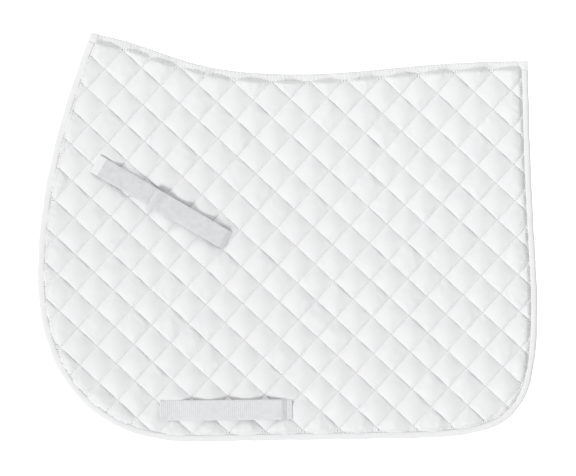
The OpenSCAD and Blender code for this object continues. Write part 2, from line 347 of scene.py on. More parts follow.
def stitch_run(points, along, out, length, width, thickness):
    """Small spindles of thread, one at each point, lying along and standing out."""
    across = np.cross(along, out)
    shape = [(-0.5, 0, -0.6), (0.5, 0, -0.6)]
    for t in (-0.3, 0.3):
        shape += [(t, -0.5, 0), (t, 0, 0.5), (t, 0.5, 0), (t, 0, -0.5)]
    shape = np.array(shape) * np.array([length, width, thickness])
    verts = (
        points[:, None]
        + shape[None, :, :1] * along[:, None]
        + shape[None, :, 1:2] * across[:, None]
        + shape[None, :, 2:] * out[:, None]
    )
    faces = []
    for k in range(4):
        j = (k + 1) % 4
        faces.append((2 + k, 2 + j, 0))
        faces.append((6 + j, 6 + k, 1))
        faces.append((6 + k, 6 + j, 2 + j, 2 + k))
    count = len(shape)
    every = [tuple(i + n * count for i in f) for n in range(len(points)) for f in faces]
    return verts.reshape(-1, 3), every


# ------------------------ materials

def node_material(name, roughness, sheen, specular=0.25):
    """A new material, its node tree and its shader."""
    material = bpy.data.materials.new(name)
    material.use_nodes = True
    tree = material.node_tree
    shader = tree.nodes["Principled BSDF"]
    fill_in(tree, shader, {"Roughness": roughness, "Specular IOR Level": specular,
                           "Sheen Weight": sheen, "Sheen Roughness": 0.6})
    return material, tree, shader


def fill_in(tree, node, values):
    """Links a socket to the node's input of that name, or sets the input or property to a value."""
    for key, value in values.items():
        if isinstance(value, bpy.types.NodeSocket):
            tree.links.new(value, node.inputs[key])
        elif key in node.inputs:
            node.inputs[key].default_value = value
        else:
            setattr(node, key, value)


def add(tree, kind, **values):
    """A new shader node, with its inputs and properties."""
    node = tree.nodes.new(kind)
    fill_in(tree, node, values)
    return node


def place(tree, turn=0.0, stretch=(1, 1, 1)):
    """Object coordinates turned in the plane of the flap."""
    where = add(tree, "ShaderNodeTexCoord").outputs["Object"]
    mapping = add(tree, "ShaderNodeMapping", Rotation=(0, turn, 0), Scale=stretch, Vector=where)
    return mapping.outputs["Vector"]


# The scale at which a wave texture's bands are one metre apart.
WAVE_UNIT = 2 * math.pi / 20


def ribs(tree, vector, period, axis="X", distortion=0.0):
    """Parallel ribs with the given period in metres."""
    wave = add(tree, "ShaderNodeTexWave", wave_type="BANDS", bands_direction=axis, Vector=vector,
               Scale=WAVE_UNIT / period, Distortion=distortion, Detail=1.0)
    return wave.outputs["Fac"]


def noise(tree, vector, size, detail):
    """Noise whose features are about size metres across."""
    node = add(tree, "ShaderNodeTexNoise", Scale=1 / size, Detail=detail, Vector=vector)
    return node.outputs["Fac"]


def maths(tree, operation, a, b):
    """The result of a sum on two sockets or numbers. The inputs share a name, so they go by number."""
    node = add(tree, "ShaderNodeMath", operation=operation)
    for socket, value in zip(node.inputs, (a, b)):
        if isinstance(value, bpy.types.NodeSocket):
            tree.links.new(value, socket)
        else:
            socket.default_value = value
    return node.outputs[0]


def mixture(tree, a, b, share):
    """Two textures added, with b's share given."""
    return maths(tree, "ADD", maths(tree, "MULTIPLY", a, 1 - share), maths(tree, "MULTIPLY", b, share))


def bump(tree, height, distance, strength, **onto):
    """The normal of a surface with the height on it. onto may hold the Normal of another bump."""
    node = add(tree, "ShaderNodeBump", Strength=strength, Distance=distance, Height=height, **onto)
    return node.outputs["Normal"]


def tone(tree, shader, factor, dark, light):
    """Colour that runs from dark to light with the factor."""
    ramp = add(tree, "ShaderNodeValToRGB", Fac=factor)
    for element, position, colour in zip(ramp.color_ramp.elements, (0.25, 0.75), (dark, light)):
        element.position, element.color = position, (*colour, 1)
    tree.links.new(ramp.outputs["Color"], shader.inputs["Base Color"])


def twill(name, dark, light, weave=0.55 * MM, turn=0.0, slub=0.5):
    """Cotton twill: fine diagonal wales over a plain weave, with soft slubs."""
    material, tree, shader = node_material(name, 0.92, 0.08)
    diagonal = ribs(tree, place(tree, math.radians(27) + turn), weave, distortion=0.6)
    weft = ribs(tree, place(tree, turn), weave * 0.8, axis="Z", distortion=0.3)
    cloth = maths(tree, "MULTIPLY", diagonal, weft)
    fuzz = noise(tree, place(tree), 0.35 * MM, 2)
    slubs = noise(tree, place(tree, turn, (0.12, 1, 1)), 1.2 * MM, 3)
    mottle = noise(tree, place(tree), 18 * MM, 4)
    height = maths(tree, "ADD", cloth, maths(tree, "MULTIPLY", fuzz, 0.5))
    weave_normal = bump(tree, height, 0.12 * MM, 0.35)
    normal = bump(tree, slubs, 0.25 * MM, slub, Normal=weave_normal)
    tree.links.new(normal, shader.inputs["Normal"])
    tone(tree, shader, mixture(tree, mottle, cloth, 0.3), dark, light)
    return material


def webbing_material(name, dark, light):
    """Woven webbing: crosswise ribs with a fine herringbone between them."""
    material, tree, shader = node_material(name, 0.62, 0.1)
    where = place(tree)
    left = ribs(tree, place(tree, math.radians(38)), 0.7 * MM)
    right = ribs(tree, place(tree, math.radians(-38)), 0.7 * MM)
    weave = maths(tree, "MAXIMUM", left, right)
    grain = noise(tree, where, 0.6 * MM, 2)
    height = maths(tree, "ADD", weave, maths(tree, "MULTIPLY", grain, 0.7))
    tree.links.new(bump(tree, height, 0.16 * MM, 0.55), shader.inputs["Normal"])
    mottle = noise(tree, where, 7 * MM, 4)
    tone(tree, shader, mixture(tree, mottle, weave, 0.4), dark, light)
    return material


def thread_material(name, dark, light):
    """Twisted sewing thread."""
    material, tree, shader = node_material(name, 0.6, 0.2)
    twist = ribs(tree, place(tree, math.radians(20)), 0.25 * MM)
    tree.links.new(bump(tree, twist, 0.05 * MM, 0.5), shader.inputs["Normal"])
    tone(tree, shader, noise(tree, place(tree), 5 * MM, 2), dark, light)
    return material


def fibre_material(name, dark, light, size, strength):
    """Loose or looped fibres: batting, loop tape and hook tape."""
    material, tree, shader = node_material(name, 0.95, 0.3)
    tuft = noise(tree, place(tree, 0, (1, 1, 0.35)), size, 6)
    tree.links.new(bump(tree, tuft, 0.8 * MM, strength), shader.inputs["Normal"])
    tone(tree, shader, tuft, dark, light)
    return material


COTTON = twill("cotton_twill", (0.85, 0.853, 0.86), (0.90, 0.902, 0.907))
LINING_COTTON = twill("lining_twill", (0.78, 0.78, 0.77), (0.86, 0.86, 0.855), turn=0.4)
BINDING_COTTON = twill("binding_tape", (0.86, 0.863, 0.87), (0.91, 0.912, 0.917), 0.45 * MM, 0.7, 0.7)
SPINE_COTTON = twill("spine_tape", (0.83, 0.833, 0.84), (0.93, 0.932, 0.935), 0.9 * MM, 0.0, 0.9)
WEBBING = webbing_material("webbing", (0.70, 0.708, 0.725), (0.84, 0.845, 0.86))
# The keeper's tabs get a darker copy of the girth loop's webbing: painted shade.
SHADED_TAB_WEBBING = webbing_material("tab_webbing_painted_shade", (0.62, 0.628, 0.645), (0.80, 0.805, 0.82))
# Grey thread for the quilting and the binding seam: its darkness is painted shade for the stitched
# grooves.
SHADED_THREAD = thread_material("thread", (0.52, 0.52, 0.53), (0.68, 0.68, 0.68))
STRAP_THREAD = thread_material("strap_thread", (0.84, 0.84, 0.85), (0.93, 0.93, 0.93))
BATTING = fibre_material("batting", (0.75, 0.75, 0.75), (0.93, 0.93, 0.93), 3 * MM, 0.9)
LOOP_TAPE = fibre_material("loop_tape", (0.60, 0.60, 0.61), (0.86, 0.86, 0.86), 0.8 * MM, 1.0)
HOOK_TAPE = fibre_material("hook_tape", (0.50, 0.50, 0.51), (0.80, 0.80, 0.80), 0.5 * MM, 1.0)


# ------------------------ straps' places

def strap_frame(origin, end):
    """Start of a strap on its centre line, and its unit vectors along and across, in (x, z)."""
    origin, end = np.array(origin, float), np.array(end, float)
    u = unit(end - origin)
    return origin, u, np.array([-u[1], u[0]])


def in_strap(strap, points):
    """Distances of flat points along and across a strap."""
    origin, u, v = strap
    return (points - origin) @ u, (points - origin) @ v


def keeper_strap():
    """The keeper's own frame: from its lower hinge to its upper hinge."""
    lower, upper = joint("left_lower_tab_lift")["pos_m"], joint("left_upper_tab_peel")["pos_m"]
    return strap_frame([lower[0], lower[2]], [upper[0], upper[2]])


def girth_strap():
    """The girth loop's frame: its longest direction, from its front end."""
    flat = vertices("left_girth_strap")[:, [0, 2]]
    centre = flat.mean(0)
    u = np.linalg.eigh(np.cov((flat - centre).T))[1][:, -1]
    u = u * np.sign(u[0])
    v = np.array([-u[1], u[0]])
    s, t = (flat - centre) @ u, (flat - centre) @ v
    origin = centre + u * s.min() + v * (t.max() + t.min()) / 2
    return origin, u, v


def centre_line(node, strap):
    """The middle of a webbing's thickness, as (distance along the strap, height) points."""
    co = vertices(node)
    s, t = in_strap(strap, co[:, [0, 2]])
    edge = t > t.max() - 0.1 * MM
    points = np.unique(np.round(np.stack([s[edge], -co[edge, 1]], 1), 6), axis=0)
    points = points[np.argsort(points[:, 0], kind="stable")]
    return points.reshape(-1, 2, 2).mean(1)


def span(node, strap):
    """Where a node starts and ends along a strap."""
    s, _ = in_strap(strap, vertices(node)[:, [0, 2]])
    return s.min(), s.max()


KEEPER, GIRTH = keeper_strap(), girth_strap()
WEBBING_T = 1.3 * MM

# The sewn ends sink into the padding, and the free parts lie closer to it than the CAD's do.
FOOT_SINK, TAB_SINK = 2.2 * MM, 4.4 * MM
LOOP_SINK, LOOP_SCALE = 1.1 * MM, 0.64
REAR_SLOPE = 6.5 * MM

KEEPER_WIDTH = 25 * MM
FRONT_FOOT, REAR_FOOT = span("left_keeper_front_foot", KEEPER), span("left_keeper_rear_foot", KEEPER)
FOOT_HEIGHT = -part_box("left_keeper_front_foot")[1].y + WEBBING_T / 2 - FOOT_SINK
LOWER_LINE = centre_line("left_keeper_lower_tab", KEEPER)
UPPER_LINE = centre_line("left_keeper_upper_tab", KEEPER)

# The girth loop slopes a little, so its box is higher than the webbing is wide.
GIRTH_LINE = centre_line("left_girth_strap", GIRTH)
GIRTH_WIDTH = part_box("left_girth_strap")[1].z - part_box("left_girth_strap")[0].z
GIRTH_WIDTH -= abs(GIRTH[1][1]) * (GIRTH_LINE[-1, 0] - GIRTH_LINE[0, 0])
GIRTH_LINE[-2, 0] -= REAR_SLOPE
GIRTH_LINE[:, 1] = FACE_HEIGHT - LOOP_SINK + LOOP_SCALE * (GIRTH_LINE[:, 1] - GIRTH_LINE[0, 1])


def under_straps(points):
    """The greatest height of the cover: the webbing's underside, rising steeply away from it."""
    limit, clearance, slope = np.full(len(points), 1.0), 0.2 * MM, 1.6
    foot = FOOT_HEIGHT - WEBBING_T / 2
    tab = LOWER_LINE[-1, 1] - TAB_SINK - WEBBING_T / 2
    for strap, line, width in (
        (KEEPER, np.array([(FRONT_FOOT[0], foot), (FRONT_FOOT[1], foot)]), KEEPER_WIDTH),
        (KEEPER, np.array([(REAR_FOOT[0], foot), (REAR_FOOT[1], foot)]), KEEPER_WIDTH),
        (KEEPER, np.array([(FRONT_FOOT[1], tab), (LOWER_LINE[-1, 0], tab)]), KEEPER_WIDTH),
        (GIRTH, GIRTH_LINE - [0, WEBBING_T / 2], GIRTH_WIDTH),
    ):
        s, t = in_strap(strap, points)
        underside = np.interp(s, line[:, 0], line[:, 1]) - clearance
        outside = np.maximum(np.maximum(line[0, 0] - s, s - line[-1, 0]), np.abs(t) - width / 2)
        limit = np.minimum(limit, underside + slope * outside.clip(0))
    return limit


# ------------------------ quilted panels

LINES = thread_lines()
PITCH = float(np.median(np.diff(LINES[0][1])))


def knots(count, crowding=0.095):
    """Places across one diamond, closer together next to the stitching."""
    k = np.arange(count) / count
    return k - crowding * np.sin(2 * np.pi * k)


class Sheet:
    """A flat cloth cut to the outline, its mesh running along the quilting lines."""

    def __init__(self, count):
        (na, _), (nb, _) = LINES
        values, cells = [], []
        for normal, offsets in LINES:
            reach = OUTLINE @ normal
            low = int(math.floor((reach.min() - offsets[0]) / PITCH))
            high = int(math.ceil((reach.max() - offsets[0]) / PITCH))
            cell = np.repeat(np.arange(low, high), count) + np.tile(knots(count), high - low)
            cells.append(cell)
            values.append(offsets[0] + cell * PITCH)
        a, b = np.meshgrid(*values, indexing="ij")
        fa, fb = np.meshgrid(*cells, indexing="ij")
        # a = p.na and b = p.nb, with na and nb at right angles
        points = a.reshape(-1, 1) * na + b.reshape(-1, 1) * nb
        index = np.arange(a.size).reshape(a.shape)
        quads = np.stack([index[:-1, :-1], index[1:, :-1], index[1:, 1:], index[:-1, 1:]], -1)
        quads = quads.reshape(-1, 4)
        near = np.flatnonzero(in_box(points))
        distance = np.full(len(points), -1.0)
        along = np.zeros(len(points))
        foot = points.copy()
        distance[near], along[near], foot[near] = nearest(points[near])
        middle = distance[quads].mean(1)
        quads = quads[(middle > CLOTH_INSET) & (distance[quads].min(1) > -OVERHANG)]
        used = np.unique(quads)
        renumber = np.full(len(points), -1)
        renumber[used] = np.arange(len(used))
        quads = renumber[quads]
        points, distance, along, foot = points[used], distance[used], along[used], foot[used]
        fa, fb = fa.reshape(-1)[used], fb.reshape(-1)[used]
        edge = np.zeros(len(points), bool)
        edge[np.unique(border_edges(quads))] = True
        pull = unit(points - foot) * np.sign(distance)[:, None]
        points[edge] = foot[edge] + pull[edge] * CLOTH_INSET
        distance[edge] = CLOTH_INSET
        self.points, self.distance, self.along = points, distance, along
        self.fa, self.fb = fa - np.floor(fa), fb - np.floor(fb)
        self.count = count
        turn = na[0] * nb[1] - na[1] * nb[0]
        self.quads = quads[:, ::-1] if turn > 0 else quads
        self.on_line = (self.fa < 1e-9) | (self.fb < 1e-9)

    def pillow(self):
        """Height over each diamond, from 0 to 1: steep beside the stitching, and domed on top."""
        dome = (np.sin(np.pi * self.fa) * np.sin(np.pi * self.fb)).clip(0)
        return 0.5 * dome ** 0.38 + 0.5 * dome ** 0.95

    def rise(self):
        """0 at the binding's seam and 1 where the padding has its full height."""
        t = ((self.distance - SEAM_INSET) / RIM_RISE).clip(0, 1)
        return np.sqrt(1 - (1 - t) ** 2)


def in_box(points, margin=2 * MM):
    """Which points may lie inside the outline, by a quick test against its box."""
    low, high = OUTLINE.min(0) - margin, OUTLINE.max(0) + margin
    return ((points > low) & (points < high)).all(1)


def split_faces(quads, chosen, fields):
    """Cuts the chosen quads into four. fields are per-point arrays, all extended by averages."""
    count = len(fields[0])
    added, middle = [], {}

    def between(*corners):
        key = tuple(sorted(corners))
        if key not in middle:
            middle[key] = count + len(added)
            added.append(corners)
        return middle[key]

    faces = []
    for q in quads[chosen].tolist():
        edge = [between(q[k], q[(k + 1) % 4]) for k in range(4)]
        centre = between(*q)
        faces += [(q[k], edge[k], centre, edge[k - 1]) for k in range(4)]
    for q in quads[~chosen].tolist():
        face = []
        for k in range(4):
            face.append(q[k])
            key = tuple(sorted((q[k], q[(k + 1) % 4])))
            if key in middle:
                face.append(middle[key])
        faces.append(tuple(face))
    extended = [np.concatenate([f, [f[list(c)].mean(0) for c in added]]) for f in fields]
    return faces, extended


def border_edges(quads):
    """Directed edges with a face on one side only."""
    edges = set()
    for q in quads:
        q = [int(i) for i in q]
        edges.update(zip(q, q[1:] + q[:1]))
    return np.array([(a, b) for a, b in edges if (b, a) not in edges])


CLOTH_FRAMES = 14
CLOTH_CAP = 2.2 * MM


def simulate(sheet, heights):
    """Blows the padding up under the stitched cloth. Returns every point's (x, height, z) movement."""
    points = np.stack([sheet.points[:, 0], -heights, sheet.points[:, 1]], 1)
    cloth = new_mesh("cloth", points, sheet.quads, COTTON)
    pinned = np.flatnonzero(sheet.on_line | (sheet.distance < SEAM_INSET + 0.5 * MM))
    group = cloth.vertex_groups.new(name="stitched")
    group.add([int(i) for i in pinned], 1.0, "REPLACE")
    modifier = cloth.modifiers.new("Cloth", "CLOTH")
    modifier.point_cache.frame_start, modifier.point_cache.frame_end = 1, CLOTH_FRAMES
    modifier.collision_settings.use_collision = False
    modifier.collision_settings.use_self_collision = False
    s = modifier.settings
    s.quality = 5
    s.mass = 0.3
    s.vertex_group_mass = "stitched"
    s.use_pressure = True
    s.uniform_pressure_force = 30
    s.shrink_min = -0.018
    s.bending_stiffness = 0.3
    s.effector_weights.gravity = 0
    scene = bpy.context.scene
    for number in range(1, CLOTH_FRAMES + 1):
        scene.frame_set(number)
    graph = bpy.context.evaluated_depsgraph_get()
    done = cloth.evaluated_get(graph).data
    co = np.zeros(len(done.vertices) * 3, np.float32)
    done.vertices.foreach_get("co", co)
    moved = co.reshape(-1, 3).astype(float) - points
    bpy.data.objects.remove(cloth)
    scene.frame_set(1)
    size = np.linalg.norm(moved, axis=1, keepdims=True)
    moved = moved * np.minimum(1, CLOTH_CAP / np.maximum(size, 1e-9))
    return moved * np.array([1, -1, 1])


def relief(sheet):
    """Height of the padding over the stitching plane, and sideways movement, of every point.

    Its even shape is the pillow's. What sets each simulated diamond apart from the mean one is added.
    """
    start_scale, crumple_size, rim_zone = 0.8, 0.1 * MM, 25 * MM
    rng = np.random.default_rng(SEED)
    crumple = rng.normal(0, crumple_size, len(sheet.points))
    even = sheet.pillow() * sheet.rise() * PUFF
    start = start_scale * sheet.pillow() * sheet.rise() * PUFF + np.where(sheet.on_line, 0, crumple)
    moved = simulate(sheet, start)
    blown = start + moved[:, 1]
    spot = ranks(sheet.fa) * (2 * sheet.count) + ranks(sheet.fb)
    inner = spot[sheet.distance > rim_zone]
    total = np.bincount(inner, blown[sheet.distance > rim_zone], spot.max() + 1)
    mean = total / np.maximum(np.bincount(inner, minlength=spot.max() + 1), 1)
    dents = (blown - mean[spot] * sheet.rise()).clip(-DENT_LIMIT, DENT_LIMIT)
    inside = 1 - (1 - sheet.pillow()) ** 3
    return even + DENT * dents * inside, SIDEWAYS * moved[:, [0, 2]]


def ranks(fraction):
    """Each value's place among the distinct values."""
    return np.unique(np.round(fraction, 6), return_inverse=True)[1].reshape(-1)


def shell(faces, front, back):
    """A closed skin between two sets of points over the same sheet of faces."""
    count = len(front)
    faces = [tuple(int(i) for i in f) for f in faces]
    rim = [(b, a, a + count, b + count) for a, b in border_edges(faces)]
    back_faces = [tuple(count + i for i in f[::-1]) for f in faces]
    return np.concatenate([front, back]), faces + back_faces + rim


def base_height(distance, rim, groove):
    """Height of the stitching plane, which runs from the rim's height to the grooves'."""
    return rim + (groove - rim) * smoothstep((distance - SEAM_INSET) / (1.6 * RIM_RISE))


def gathers(distance, along):
    """Small puckers of the cloth beside the binding's seam."""
    centre, width, height, period = SEAM_INSET + 2.4 * MM, 2.2 * MM, 1.0 * MM, 3.3 * MM
    reach = np.exp(-(((distance - centre) / width) ** 2))
    phase = 2 * np.pi * along / period + 2.5 * wobble(along, SEED + 1, 0.11)
    return height * reach * np.sin(phase)


def cover_heights(total, limit):
    """The cover's heights, eased under the limit without a sharp bend."""
    soft = 0.4 * MM
    return limit - soft * np.logaddexp(0, (limit - total) / soft)


def build_panels(bend):
    """The outer cover and the lining, from one sheet."""
    sheet = Sheet(16)
    height, sideways = relief(sheet)
    flat = sheet.points + sideways
    cut_finer = SEAM_INSET + 7 * MM
    level = base_height(sheet.distance, COVER_RIM, COVER_GROOVE)
    limit = np.minimum(under_straps(sheet.points), 0.1)
    near_rim = sheet.distance[sheet.quads].min(1) < cut_finer
    fields = [flat, level + height, limit, sheet.distance, sheet.along]
    faces, (fine, total, limit, distance, along) = split_faces(sheet.quads, near_rim, fields)
    outer = cover_heights(total + gathers(distance, along), limit)
    skin = shell(faces, lift(fine, outer), lift(fine, outer - CLOTH))
    pair("quilted_cover", skin, COTTON, ["crown_cover", "flap_cover"], bend=bend)

    flatness, lowest = 1.1, 0.35 * MM
    level = base_height(sheet.distance, LINING_RIM, LINING_GROOVE)
    inner = level - LINING_PUFF * np.tanh(height.clip(0) / PUFF) / math.tanh(flatness)
    inner = np.maximum(inner, lowest)
    skin = shell(sheet.quads, lift(flat, inner + CLOTH), lift(flat, inner))
    pair("lining", skin, LINING_COTTON, ["crown_lining", "flap_lining"], bend=bend)


def build_batting(bend):
    """The padding, between the cloths and clear of both."""
    puff_out, puff_in = 0.55 * PUFF, 1.2 * MM
    below_cover, above_lining, thinnest = 1.9 * MM, 1.4 * MM, 0.3 * MM
    fill = Sheet(5)
    puff = fill.pillow() * fill.rise()
    out = base_height(fill.distance, RIM_HEIGHT, COVER_GROOVE) + puff_out * puff
    out = np.minimum(out, under_straps(fill.points)) - below_cover
    low = base_height(fill.distance, LINING_RIM, LINING_GROOVE) - puff_in * puff + above_lining
    out = np.maximum(out, low + thinnest)
    skin = shell(fill.quads, lift(fill.points, out), lift(fill.points, low))
    pair("batting", skin, BATTING, ["crown_batting", "flap_batting"], bend=bend)


def quilting_stitches(bend):
    """The needle thread on the cover and the bobbin thread on the lining, stitch by stitch."""
    step, margin = 4.0 * MM, 3.0 * MM
    spots, directions = [], []
    for normal, offsets in LINES:
        along = np.array([-normal[1], normal[0]])
        reach = OUTLINE @ along
        t = np.arange(reach.min(), reach.max(), step)
        for offset in offsets:
            spots.append(offset * normal + t[:, None] * along)
            directions.append(np.repeat(along[None], len(t), 0))
    spots, directions = np.concatenate(spots), np.concatenate(directions)
    near = in_box(spots)
    spots, directions = spots[near], directions[near]
    distance = nearest(spots)[0]
    keep = distance > SEAM_INSET + margin
    spots, directions, distance = spots[keep], lift(directions[keep], 0.0), distance[keep]
    base = base_height(distance, COVER_RIM, COVER_GROOVE)
    seen = under_straps(spots) >= base + 0.2 * MM
    top = lift(spots, base + 0.12 * MM)[seen]
    under = lift(spots, base_height(distance, LINING_RIM, LINING_GROOVE) - 0.1 * MM)
    skin = join([
        stitch_run(top, directions[seen], OUTWARD, 3.5 * MM, 0.55 * MM, 0.5 * MM),
        stitch_run(under, directions, -OUTWARD, 3.5 * MM, 0.5 * MM, 0.4 * MM),
    ])
    # The thread's grey is painted shade along the quilting grooves.
    pair("quilting_thread", skin, SHADED_THREAD,
         ["crown_quilting_thread", "quilting_thread"], bend=bend)


# ------------------------ binding and spine tape

def sweep(path, section, flutter):
    """A closed section of (inset, height) points carried along an outline path, as a skin.

    flutter(along, inset, height) returns how much further in and out each point stands.
    """
    inset, height = section[:, 0][None, :], section[:, 1][None, :]
    more_in, more_out = flutter(path_length(path)[:, None], inset, height)
    inset, height = inset + more_in, height + more_out
    flat = path[:, None] + inward(path)[:, None] * inset[:, :, None]
    return loft(np.stack([flat[..., 0], -height, flat[..., 1]], -1))


def seam_stitches(stations, inset, height, out, *size):
    """A run of stitches along an outline path, inset from it and at a height."""
    seam = stations + inward(stations) * inset
    along = lift(tangents(seam), 0.0)
    return stitch_run(lift(seam, height), along, out, *size)


def rounded(points):
    """A closed section with its corners rounded by two passes of corner cutting."""
    p = np.array(points, float)
    for _ in range(2):
        q = np.roll(p, -1, 0)
        p = np.stack([0.75 * p + 0.25 * q, 0.25 * p + 0.75 * q], 1).reshape(-1, 2)
    return p


def trimmed(path, start, end):
    """The part of the path from start to end metres along it, counted from its far end if negative."""
    along = path_length(path)
    end = end if end > 0 else along[-1] + end
    keep = (along > start) & (along < end)
    ends = [np.array([np.interp(x, along, path[:, k]) for k in range(2)]) for x in (start, end)]
    return np.concatenate([[ends[0]], path[keep], [ends[1]]])


def binding_section():
    """The folded tape's front leg, wrap and inner leg, as a closed (inset, height) section."""
    rim = RIM_HEIGHT / MM
    points = [
        (10.3, rim - 0.3), (9.4, rim + 0.4), (8.5, rim + 0.2), (7.6, rim + 1.0), (5.0, rim + 1.35),
        (2.0, rim + 1.1), (0.3, rim - 0.1), (-0.1, rim - 2.4), (0.4, 1.4), (2.2, 0.5), (5.0, 0.15),
        (9.6, 0.12), (9.7, 0.7), (4.0, 0.8), (1.6, 1.4), (0.9, 3.2), (1.3, rim - 1.0),
        (3.0, rim - 0.5), (8.5, rim - 0.55), (10.2, rim - 0.9),
    ]
    return rounded(points) * MM


def build_binding(bend):
    crossing = 11 * MM
    path = resample(trimmed(RIM, crossing, -crossing), 1.5 * MM)

    def flutter(s, inset, height):
        """Puckers beside the seam on the front leg, a slow wave, and an uneven outer edge."""
        front = smoothstep((height - 3.5 * MM) / (3 * MM))
        seam = np.exp(-(((inset - SEAM_INSET) / (2.6 * MM)) ** 2))
        puckers = np.sin(2 * np.pi * s / (5.6 * MM) + 2.2 * wobble(s, SEED + 2, 0.12))
        slow = wobble(s, SEED + 3, 0.09)
        out = front * (0.16 * MM * seam * puckers + 0.35 * MM * slow * (1 - seam))
        edge = np.exp(-((inset / (3 * MM)) ** 2))
        return -0.3 * MM * edge * wobble(s, SEED + 4, 0.06), out

    skin = sweep(path, binding_section(), flutter)
    pair("edge_binding", skin, BINDING_COTTON, ["edge_binding", "crown_binding"], bend=bend)

    stations = resample(path, 3.4 * MM)
    top, under = RIM_HEIGHT + 0.75 * MM, 0.12 * MM
    skin = join([
        seam_stitches(stations, SEAM_INSET, top, OUTWARD, 2.7 * MM, 0.6 * MM, 0.5 * MM),
        seam_stitches(stations, SEAM_INSET, under, -OUTWARD, 2.7 * MM, 0.5 * MM, 0.2 * MM),
    ])
    pair("binding_stitching", skin, SHADED_THREAD, ["binding_stitching"], bend=bend)


def spine_section():
    """The tape over the spine: both its outer halves, then the inside of the fold."""
    rim = RIM_HEIGHT / MM
    half = [(9.0, rim - 0.3), (8.9, rim + 0.35), (6.0, rim + 0.5), (2.2, rim + 0.6),
            (0.5, rim + 0.1), (0.0, rim - 1.6), (0.0, 1.5)]
    under = [(0.8, 1.5), (0.9, rim - 2.0), (1.6, rim - 0.6), (6.0, rim - 0.2)]
    mirrored = [(i, -h) for i, h in half[::-1] + under[::-1]]
    return rounded(half + mirrored + under) * MM


def build_spine():
    """The tape over the spine seam, with two rows of stitches and a zigzag on each side."""
    under_caps = 8.4 * MM
    path = resample(trimmed(SPINE, under_caps, -under_caps), 1.0 * MM)

    def flutter(s, inset, height):
        """Gathers across the tape, deepest at the fold, and slower lumps."""
        wave = np.sin(2 * np.pi * s / (4.2 * MM) + 3 * wobble(s, SEED + 5, 0.1))
        outside = smoothstep((np.abs(height) - 3 * MM) / (2 * MM))
        lumps = 0.2 * MM * wobble(s, SEED + 6, 0.05)
        rows = 0.4 * MM * wave * np.exp(-((inset / (6 * MM)) ** 2))
        lean = np.sign(height) * outside * (rows + lumps)
        return -0.35 * MM * np.exp(-((inset / (2 * MM)) ** 2)) * (0.5 + 0.5 * wave), lean

    spine_piece("spine_tape", *sweep(path, spine_section(), flutter), SPINE_COTTON, "spine_tape")

    row_depths, zigzag_depths = (6.2 * MM, 8.0 * MM), (2.2 * MM, 5.0 * MM)
    row_height, zigzag_height = RIM_HEIGHT + 0.6 * MM, RIM_HEIGHT + 0.55 * MM
    rows, bends = resample(path, 3.2 * MM), resample(path, 2.4 * MM)
    swing = np.where(np.arange(len(bends)) % 2 == 0, *zigzag_depths)[:, None]
    zigzag = bends + inward(bends) * swing
    middle, reach = (zigzag[1:] + zigzag[:-1]) / 2, zigzag[1:] - zigzag[:-1]
    length = float(np.linalg.norm(reach, axis=1).mean())
    runs = []
    for side in (-1, 1):
        out = -side * OUTWARD
        for depth in row_depths:
            size = 2.6 * MM, 0.85 * MM, 0.8 * MM
            runs.append(seam_stitches(rows, depth, -side * row_height, out, *size))
        centre = lift(middle, -side * zigzag_height)
        runs.append(stitch_run(centre, lift(unit(reach), 0.0), out, length, 0.5 * MM, 0.5 * MM))
    spine_piece("spine_stitching", *join(runs), STRAP_THREAD, "thread")


def build_crossing(name, corner, spine_dir, edge_dir):
    """The binding where it folds over the spine: a small padded cap across both flaps."""
    across = np.linspace(-1, 1, 13)
    along = np.linspace(-1, 1, 27)
    length, width, half_thick = 13.5 * MM, BINDING_WIDTH + 0.4 * MM, RIM_HEIGHT + 1.1 * MM
    centre = corner + spine_dir * (width / 2 - 0.2 * MM) + edge_dir * (length / 2 - 0.9 * MM)
    verts, faces, seen = [], [], {}

    def vertex(*cube):
        """The number of the vertex at a point of the unit cube's surface, with the cube rounded."""
        key = tuple(round(c, 5) for c in cube)
        if key not in seen:
            p = np.array(cube, float)
            q = 0.75 * p + 0.25 * (p / np.linalg.norm(p)) * np.abs(p).max() * 1.2
            fold = 0.025 * math.sin(5 * q[2] + 2.5 * q[0]) * (1 - abs(q[0]) ** 4)
            flat = centre + spine_dir * q[0] * width / 2 + edge_dir * q[2] * length / 2
            seen[key] = len(verts)
            verts.append((flat[0], q[1] * half_thick * (1 + fold), flat[1]))
        return seen[key]

    for side, us, vs in (
        (lambda u, v: (u, -1, v), across, along),
        (lambda u, v: (-u, 1, v), across, along),
        (lambda u, v: (-1, -u, v), across, along),
        (lambda u, v: (1, u, v), across, along),
        (lambda u, v: (u, v, 1), across, across),
        (lambda u, v: (u, -v, -1), across, across),
    ):
        for u0, u1 in zip(us, us[1:]):
            for v0, v1 in zip(vs, vs[1:]):
                ring = (u0, v0), (u1, v0), (u1, v1), (u0, v1)
                faces.append(tuple(vertex(*side(u, v)) for u, v in ring))
    spine_piece(name, verts, faces, BINDING_COTTON, "binding")


# ------------------------ straps

def to_world(strap, s, t, height):
    """Points at distances along, across and out from a strap's centre line."""
    origin, u, v = strap
    flat = origin + s[..., None] * u + t[..., None] * v
    return np.stack([flat[..., 0], -height, flat[..., 1]], -1)


